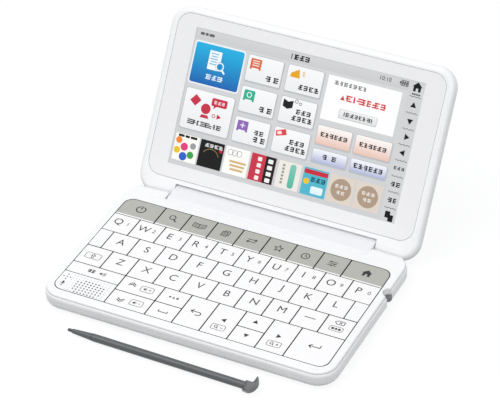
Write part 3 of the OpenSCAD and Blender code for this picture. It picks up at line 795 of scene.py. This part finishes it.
def paintStudyTile(sheet):
    bm = sheet["bm"]
    red = "#c7304a"
    paintTile(sheet, -59.6, 31.8, -32.8, 52.2, 1.3, "#eceef0", "#f7f8f9")
    paint(sheet, drawShape(bm, [(-56.4, 46.2), (-53.6, 49.6), (-50.4, 47.2), (-53.2, 43.8)]), red)
    paint(sheet, drawTile(bm, -40.6, 47.8, 8.4, 4.0, 0.8), red)
    paint(sheet, drawShape(bm, [(-43.2, 46.0), (-41.6, 46.0), (-43.4, 44.3)]), red)
    paint(sheet, drawDisc(bm, -47.2, 43.6, 2.6, 28), red)
    paint(sheet, drawShape(bm, [(-49.6, 39.0), (-48.9, 40.6), (-45.5, 40.6), (-44.8, 39.0)]), red)
    paint(sheet, drawShape(bm, [(-40.6, 42.4), (-40.6, 39.8), (-38.2, 41.1)]), red)
    sheet["layer"] = 6
    paintBars(sheet, -40.6, 47.8, [1.5, 1.5, 1.5], 1.6, 0.6, "#f6dfe3")
    paint(sheet, drawRing(bm, -42.4, 41.1, 0.8, 0.35), red)
    paintBars(sheet, -46.4, 35.8, [4.6, 1.2, 6.4, 1.2, 2.6], 2.3, 0.6, "#0c0d0e")


def paintCardIcon(sheet, x, y, hexText, mark):
    bm = sheet["bm"]
    paint(sheet, drawTile(bm, x, y, 5.8, 4.6, 0.5), hexText)
    for side in (-1, 1):
        paint(sheet, drawDisc(bm, x + side * 2.4, y - 2.5, 0.6, 14), hexText)
    sheet["layer"] = 6
    if mark == "lines":
        for i in range(3):
            paint(sheet, drawTile(bm, x, y + 1.2 - i * 1.1, 3.6, 0.42), "#fbf4ee")
    elif mark == "ring":
        paint(sheet, drawRing(bm, x, y, 1.2, 0.45), "#eefaf4")
    else:
        paint(sheet, drawTile(bm, x, y, 2.6, 0.5), "#f5effa")
        paint(sheet, drawTile(bm, x, y, 0.5, 2.6), "#f5effa")
    sheet["layer"] = 5


def paintSubjectTiles(sheet):
    bm = sheet["bm"]
    dark = "#08090a"
    columns, rows = ((-30.8, -11.7), (-9.4, 9.8)), ((62.0, 75.2), (46.8, 59.6), (31.8, 44.4))
    for c, (x0, x1) in enumerate(columns):
        for r, (y0, y1) in enumerate(rows):
            paintTile(sheet, x0, y0, x1, y1, 1.0, "#eceef0", "#f8f9fa")
            if c == 0:
                paintBars(sheet, x1 - 4.6, y0 + 3.3, [2.4 if r == 2 else 2.6] * 2, 2.6, 1.6, dark)
            else:
                paintBars(sheet, x1 - 6.6, y0 + 3.3, [2.2] * 4, 2.4, 0.6, dark)
            if (c, r) in ((0, 2), (1, 1), (1, 2)):
                paintBars(sheet, x1 - 5.4 - c, y0 + 6.6, [2.2] * (2 + c), 2.3, 0.6, dark)
    paintCardIcon(sheet, -26.2, 71.2, "#df6a45", "lines")
    paintCardIcon(sheet, -26.2, 55.6, "#2fae8f", "ring")
    paintCardIcon(sheet, -26.2, 40.4, "#9166b8", "cross")
    horn = [(-7.6, 69.2), (-7.2, 71.2), (-3.2, 73.6), (-2.4, 69.2), (-5.4, 69.2)]
    paint(sheet, drawShape(bm, horn), "#eaa623")
    for turn in (-25, 5, 35):
        across, along = math.cos(math.radians(turn)), math.sin(math.radians(turn))
        ray = [(-2.2 + r * across, 71.6 + r * along) for r in (1.0, 2.4)]
        paint(sheet, drawLine(bm, ray, 0.4), "#eaa623")
    for side in (-1, 1):
        points = [(-5.4, 53.6), (-5.4 + side * 2.6, 54.6), (-5.4 + side * 2.6, 58.2), (-5.4, 57.2)]
        paint(sheet, drawShape(bm, points if side > 0 else points[::-1]), "#16181a")
    paint(sheet, drawRing(bm, -1.2, 58.2, 0.8, 0.3), "#3c3f42")
    paint(sheet, drawRing(bm, 1.0, 57.4, 0.6, 0.3), "#3c3f42")
    paint(sheet, drawShape(bm, [(-8.0, 39.6), (-2.6, 41.2), (-3.6, 44.0), (-8.6, 42.2)]), "#d9464a")
    sheet["layer"] = 6
    paint(sheet, drawShape(bm, [(-7.4, 40.5), (-5.2, 41.1), (-5.7, 42.6), (-7.8, 41.9)]), "#f7e6e4")
    sheet["layer"] = 5


def paintNewsPanel(sheet):
    bm = sheet["bm"]
    sheet["layer"] = 3
    paint(sheet, drawTile(bm, 31.2, 64.0, 38.2, 21.6, 0.3), "#fdfdfd")
    sheet["layer"] = 4
    paintBars(sheet, 24.0, 71.8, [2.0, 1.4, 2.0, 1.4, 2.0, 2.0, 1.4], 1.9, 0.7, "#6a6d70")
    paint(sheet, drawShape(bm, [(20.2, 64.2), (21.4, 66.6), (22.6, 64.2)]), "#d8383c")
    paintBars(sheet, 33.4, 65.6, [3.2, 1.0, 4.6, 2.2, 3.6, 2.6], 2.9, 0.7, "#d8383c")
    paint(sheet, drawTile(bm, 31.1, 57.8, 20.0, 4.6, 0.7), "#c3c6c9")
    sheet["layer"] = 5
    paint(sheet, drawTile(bm, 31.1, 57.9, 19.4, 4.0, 0.5), "#dfe1e3", "#f1f2f3")
    sheet["layer"] = 6
    paintBars(sheet, 31.1, 57.9, [0.5, 2.0, 2.0, 1.5, 1.5, 1.5, 2.0, 0.5], 1.9, 0.5, "#3a3c3e")


def paintSmallButtons(sheet):
    for x0, x1, widths, gap in ((12.2, 30.6, [2.3] * 2, 2.6), (32.3, 51.4, [2.0] * 6, 0.6)):
        paintTile(sheet, x0, 40.8, x1, 50.4, 0.9, "#eac3b4", "#fdf8f5")
        paintBars(sheet, (x0 + x1) / 2, 46.0, [2.1, 1.6, 2.1, 1.6, 2.1, 2.1], 2.1, 0.5, "#120e0f")
        paintTile(sheet, x0, 32.0, x1, 38.8, 0.9, "#b0b8da", "#f6f7fc")
        paintBars(sheet, (x0 + x1) / 2, 35.5, widths, 2.3, gap, "#0c0d12")


def paintThumbnails(sheet):
    bm = sheet["bm"]
    y0, y1 = 15.6, 28.9
    middle = (y0 + y1) / 2
    edges = [(-59.8, -46.8), (-46.0, -33.0), (-32.0, -19.0), (-18.0, -4.8), (-3.4, 8.8), (10.2, 23.2),
             (24.3, 37.2), (38.1, 51.5)]
    grounds = ["#fbfaf4", "#101112", "#fbfaf7", "#c8344a", "#ece8e2", "#4fb6cc", "#dfd3c7", "#dfd3c7"]
    for (x0, x1), ground in zip(edges, grounds):
        sheet["layer"] = 3
        paint(sheet, drawTile(bm, (x0 + x1) / 2, middle, x1 - x0, y1 - y0), ground)
    sheet["layer"] = 4
    # scattered counters in bright colours
    for x, y, radius, hexText in ((-57.6, 25.6, 1.7, "#ef8a2a"), (-54.2, 22.8, 2.0, "#e23f7d"),
                                  (-57.8, 20.6, 1.7, "#e9c521"), (-54.0, 18.0, 2.1, "#2a62c9"),
                                  (-50.2, 19.4, 1.8, "#3aa34a"), (-49.6, 24.0, 1.6, "#9a9da0")):
        paint(sheet, drawDisc(bm, x, y, radius, 20), hexText)
    paintBars(sheet, -53.3, 28.0, [3.2, 2.4, 3.6], 1.2, 0.5, "#0a0b0c")
    # dark cover with an arc of gold and a small red square
    paint(sheet, drawRing(bm, -39.6, 20.4, 4.6, 0.35, start=20, end=150), "#8d7a4a")
    paintBars(sheet, -38.6, 26.6, [2.0, 2.0, 2.0, 2.0], 1.7, 0.5, "#e8e8e6")
    paint(sheet, drawTile(bm, -34.6, 25.0, 1.5, 1.5), "#c7263a")
    # pale cover with grey loops above golden bars
    for i in range(3):
        paint(sheet, drawRing(bm, -29.4 + i * 2.4, 26.2, 1.4, 0.25), "#8a8f94")
    for i in range(3):
        paint(sheet, drawTile(bm, -24.6, 22.0 - i * 1.9, 9.0 - i, 1.1, 0.2), "#c9a160", "#e2c693")
    # red cover with a black column and white blocks
    paint(sheet, drawTile(bm, -7.6, middle, 5.4, 13.2), "#16181a")
    for i in range(4):
        paint(sheet, drawTile(bm, -13.4, 26.6 - i * 3.1, 2.2, 2.0, 0.3), "#f6ebe9")
    sheet["layer"] = 5
    for i in range(4):
        paint(sheet, drawTile(bm, -7.6, 26.6 - i * 3.1, 2.6, 2.0, 0.3), "#f4f4f2")
    sheet["layer"] = 4
    # pale cover with a teal band
    paint(sheet, drawTile(bm, 4.6, middle, 3.2, 11.8, 1.5), "#58b49c", "#7cc9b4")
    for i in range(6):
        paint(sheet, drawTile(bm, -0.4, 26.8 - i * 1.7, 1.2, 1.1), "#9a938c")
    # blue cover with a red and yellow heading
    paint(sheet, drawTile(bm, 16.7, 27.0, 12.4, 2.2, 0.3), "#c9283c")
    paint(sheet, drawDisc(bm, 12.4, 22.2, 1.5, 20), "#f0c22e")
    paintBars(sheet, 18.4, 23.6, [2.2, 2.2, 2.2], 2.2, 0.5, "#123a52")
    paint(sheet, drawTile(bm, 18.6, 18.6, 6.4, 3.6, 0.8), "#d6eff4", "#eef9fb")
    # two plain beige places with a round seal
    for x in (30.75, 44.8):
        paint(sheet, drawDisc(bm, x, middle, 5.3, 40), "#ad9884")
        sheet["layer"] = 5
        paintBars(sheet, x, middle + 1.5, [1.8, 1.8, 1.8], 1.6, 0.6, "#efe7dd")
        paintBars(sheet, x, middle - 1.5, [1.8, 1.8], 1.6, 0.6, "#efe7dd")
        sheet["layer"] = 4


def paintTouchStrip(sheet):
    bm = sheet["bm"]
    dark = "#0a0b0c"
    sheet["layer"] = 2
    paint(sheet, drawTile(bm, 57.0, 47.4, 7.8, 68.5), "#d2d4d6")
    sheet["layer"] = 3
    paint(sheet, drawHouse(bm, 57.0, 78.6), dark)
    paintBars(sheet, 57.0, 75.4, [0.8, 0.8, 0.8, 0.8], 0.8, 0.3, dark)
    for y, turn in ((70.0, 90), (62.5, -90), (54.7, 0), (47.0, 180)):
        paint(sheet, drawShape(bm, arcPoints(57.0, y, 1.75, turn, turn + 240, 3)), dark)
    paintBars(sheet, 57.0, 39.3, [1.4, 1.4, 1.4], 1.5, 0.6, dark)
    paintBars(sheet, 57.0, 31.5, [2.1, 2.1], 2.2, 0.6, dark)
    paintBars(sheet, 57.0, 23.8, [2.1, 1.6], 2.2, 0.6, dark)
    for x, y in ((56.4, 16.8), (58.2, 15.2)):
        paint(sheet, drawTile(bm, x, y, 2.6, 3.2, 0.2), dark)
    for y in (74.2, 66.3, 58.5, 50.8, 43.2, 35.4, 27.7, 20.0):
        wave = [(54.0 + i * 0.5, y + 0.22 * math.sin(i * 1.57)) for i in range(13)]
        paint(sheet, drawLine(bm, wave, 0.3), "#606467")


def makePictureSheet():
    sheet = startSheet()
    width, height = screen["right"] - screen["left"], screen["high"] - screen["low"]
    ground = drawTile(sheet["bm"], 0, (screen["low"] + screen["high"]) / 2, width, height)
    paint(sheet, ground, "#cdcfd1", "#d6d8d9")
    paintTopBar(sheet)
    paintSearchTile(sheet)
    paintStudyTile(sheet)
    paintSubjectTiles(sheet)
    paintNewsPanel(sheet)
    paintSmallButtons(sheet)
    paintThumbnails(sheet)
    paintTouchStrip(sheet)
    print("picture drawn:", sheet["count"], "shapes")
    bmesh.ops.translate(sheet["bm"], verts=sheet["bm"].verts, vec=(0, 0, lid["screenZ"]))
    return addPiece("homePicture", sheet["bm"], lidPlace, ["picture"], "lid")


makePictureSheet()


speaker = {"left": -60.9, "rear": 15.3, "pitch": 1.74, "columns": 9, "holeMm": 0.43, "fineMm": 0.2,
           "rows": ((2, 7), (0, 9), (0, 9), (0, 9), (0, 9), (1, 8)), "riseMm": 0.11}
microphone = {"x": -67.2, "y": 10.0, "holes": (-67.5, 15.0), "holeMm": 0.36}


def makeSpeakerHolesPaintedShade():
    # dark discs of painted shade stand in for the holes: full ones in the middle of the tile, and fine ones
    # that fade out round them; the microphone's holes are the same, and its sign is print
    bm = bmesh.new()
    for row in range(-1, len(speaker["rows"])):
        first, last = speaker["rows"][row] if row >= 0 else (0, 0)
        for column in range(-2, speaker["columns"] + 1):
            full = first <= column < last
            x, y = speaker["left"] + column * speaker["pitch"], speaker["rear"] - row * speaker["pitch"]
            drawDisc(bm, x, y, speaker["holeMm" if full else "fineMm"], 12 if full else 8)
    x, y = microphone["holes"]
    for stepX, stepY in ((0, 0), (1, 0), (-1, 0), (0, 1), (0, -1)):
        place = (x + stepX * speaker["pitch"], y + stepY * speaker["pitch"])
        drawDisc(bm, *place, microphone["holeMm"], 12)
    x, y = microphone["x"], microphone["y"]
    drawTile(bm, x, y + 0.7, 1.0, 1.9, 0.45)
    drawRing(bm, x, y + 0.5, 1.05, 0.26, start=180, end=360)
    drawTile(bm, x, y - 1.0, 0.26, 0.9)
    drawTile(bm, x, y - 1.5, 1.5, 0.26)
    place = toMetres @ Matrix.Translation((0, deck["frontEdgeY"], deck["top"] + speaker["riseMm"]))
    return addPiece("speakerHolesPaintedShade", bm, place, ["inkAndPaintedShade"], "base")


makeSpeakerHolesPaintedShade()


jackRing = {"place": (-75.15, -20.393, 4.1), "ringMm": 2.05, "wireMm": 0.22}


def makeJackRing():
    # nickel-plated ring in the mouth of the earphone socket
    bm = bmesh.new()
    bmesh.ops.create_circle(bm, segments=12, radius=jackRing["wireMm"],
                            matrix=Matrix.Translation((0, jackRing["ringMm"], 0)))
    bmesh.ops.spin(bm, geom=bm.verts[:] + bm.edges[:], axis=(1, 0, 0), cent=(0, 0, 0), angle=math.tau,
                   steps=40, use_merge=True)
    bmesh.ops.recalc_face_normals(bm, faces=bm.faces)
    for face in bm.faces:
        face.smooth = True
    place = toMetres @ Matrix.Translation(jackRing["place"])
    return addPiece("jackRing", bm, place, ["steel"], "base")


makeJackRing()


under = {"z": 0.48, "screwX": (-66.0, 66.0), "screwY": (-60.1, 12.4), "headMm": 2.1, "headDrop": 0.02,
         "sinkMm": 2.55, "sinkShadeLine": 0.4, "slotMm": 1.25, "slotShadeLine": 0.45, "slotDrop": 0.04,
         "plate": (70.0, 26.0), "plateY": -26.0, "plateRound": 2.0, "grooveShadeMm": 0.3}


def makeUnderside():
    # case screws in their sinks, and the groove round a bare plate, on the face that lies on the table; the
    # sinks, the slots in the heads and the groove are dark lines of painted shade
    bm = bmesh.new()
    for x in under["screwX"]:
        for y in under["screwY"]:
            drawRing(bm, x, y, under["sinkMm"], under["sinkShadeLine"])
            head = drawDisc(bm, x, y, under["headMm"], 32, under["headDrop"])
            for face in {f for v in head for f in v.link_faces}:
                face.material_index = 1
            for turn in (25, 115):
                slot = arcPoints(x, y, under["slotMm"], turn + 180, turn, 2)
                drawLine(bm, slot, under["slotShadeLine"], under["slotDrop"])
    plate = roundedOutline(0, under["plateY"], *under["plate"], under["plateRound"], 8)
    drawLine(bm, plate, under["grooveShadeMm"], closed=True)
    down = toMetres @ Matrix.Translation((0, 0, under["z"])) @ Matrix.Diagonal((1, 1, -1, 1))
    bmesh.ops.reverse_faces(bm, faces=bm.faces)
    return addPiece("undersideDetails", bm, down, ["inkAndPaintedShade", "steel"], "base")


makeUnderside()


camera = {"azimuth": 27.862, "elevation": 37.222, "roll": -2.328, "distanceMm": 1170.727,
          "targetMm": (-15.311, 35.719, 9.5), "focusPixels": 2395.84, "widthPixels": 500}


def makeCamera():
    az, el, roll = (math.radians(camera[k]) for k in ("azimuth", "elevation", "roll"))
    back = Vector((math.sin(az) * math.cos(el), -math.cos(az) * math.cos(el), math.sin(el)))
    right = Vector((math.cos(az), math.sin(az), 0))
    up = back.cross(right)
    turnedRight = right * math.cos(roll) + up * math.sin(roll)
    turnedUp = up * math.cos(roll) - right * math.sin(roll)
    data = bpy.data.cameras.new("camera")
    data.sensor_width = 36
    data.lens = camera["focusPixels"] / camera["widthPixels"] * data.sensor_width
    eye = bpy.data.objects.new("camera", data)
    place = Vector(camera["targetMm"]) * mm + back * camera["distanceMm"] * mm
    turned = Matrix((turnedRight, turnedUp, back)).transposed().to_4x4()
    eye.matrix_world = Matrix.Translation(place) @ turned
    bpy.context.scene.collection.objects.link(eye)
    bpy.context.scene.camera = eye


studio = {"ambient": 0.73, "ambientColour": [0.993, 0.995, 1.0, 1.0], "white": [1.0, 1.0, 1.0, 1.0],
          "floor": "#6a6b6c", "floorGlow": 0.865, "floorHalf": 6.0, "aim": (0, 0.03, 0.02),
          "lamps": {"keyLamp": ((-0.55, -0.35, 1.15), 0.9, 5.0),
                    "fillLamp": ((0.9, -0.9, 0.9), 1.1, 4.4)}}    # place, size, watts


def makeLamp(name, place, size, power):
    data = bpy.data.lights.new(name, "AREA")
    data.size, data.energy = size, power
    lamp = bpy.data.objects.new(name, data)
    lamp.location = place
    lamp.rotation_euler = (Vector(studio["aim"]) - Vector(place)).to_track_quat("-Z", "Y").to_euler()
    bpy.context.scene.collection.objects.link(lamp)


def seenRays(tree):
    # 1 for rays that look at a surface, straight, in a reflection or through glass
    rays = addNode(tree, "ShaderNodeLightPath").outputs
    seen = rays["Is Camera Ray"]
    for kind in ("Is Glossy Ray", "Is Transmission Ray"):
        either = addNode(tree, "ShaderNodeMath", {"operation": "MAXIMUM"}, {0: seen, 1: rays[kind]})
        seen = either.outputs["Value"]
    return seen


def makePaperSweep():
    # matt grey paper for the light that it throws back, and white with a soft shadow where it is looked at
    material, tree, bsdf = newMaterial("paperSweep", {"Roughness": 0.9, "Specular IOR Level": 0.1,
                                                      "Base Color": srgb(studio["floor"]),
                                                      "Emission Color": studio["white"]})
    tree.links.new(bothOf(tree, seenRays(tree), studio["floorGlow"]), bsdf.inputs["Emission Strength"])
    return material


def makeStudio():
    world = bpy.data.worlds.new("studio")
    bpy.context.scene.world = world
    world.use_nodes = True
    tree = world.node_tree
    tree.nodes.clear()
    ambient = addNode(tree, "ShaderNodeBackground", None,
                      {"Color": studio["ambientColour"], "Strength": studio["ambient"]})
    white = addNode(tree, "ShaderNodeBackground", None, {"Color": studio["white"], "Strength": 1.0})
    mix = addNode(tree, "ShaderNodeMixShader", None,
                  {0: seenRays(tree), 1: ambient.outputs["Background"], 2: white.outputs["Background"]})
    addNode(tree, "ShaderNodeOutputWorld", None, {"Surface": mix.outputs["Shader"]})

    floorMesh = bmesh.new()
    bmesh.ops.create_grid(floorMesh, x_segments=1, y_segments=1, size=studio["floorHalf"])
    mesh = bpy.data.meshes.new("floor")
    floorMesh.to_mesh(mesh)
    floorMesh.free()
    mesh.materials.append(makePaperSweep())
    floor = bpy.data.objects.new("floor", mesh)
    bpy.context.scene.collection.objects.link(floor)

    for name, (place, size, power) in studio["lamps"].items():
        makeLamp(name, place, size, power)


makeCamera()
makeStudio()
bpy.context.scene.view_settings.view_transform = "Standard"
print("camera and studio made")
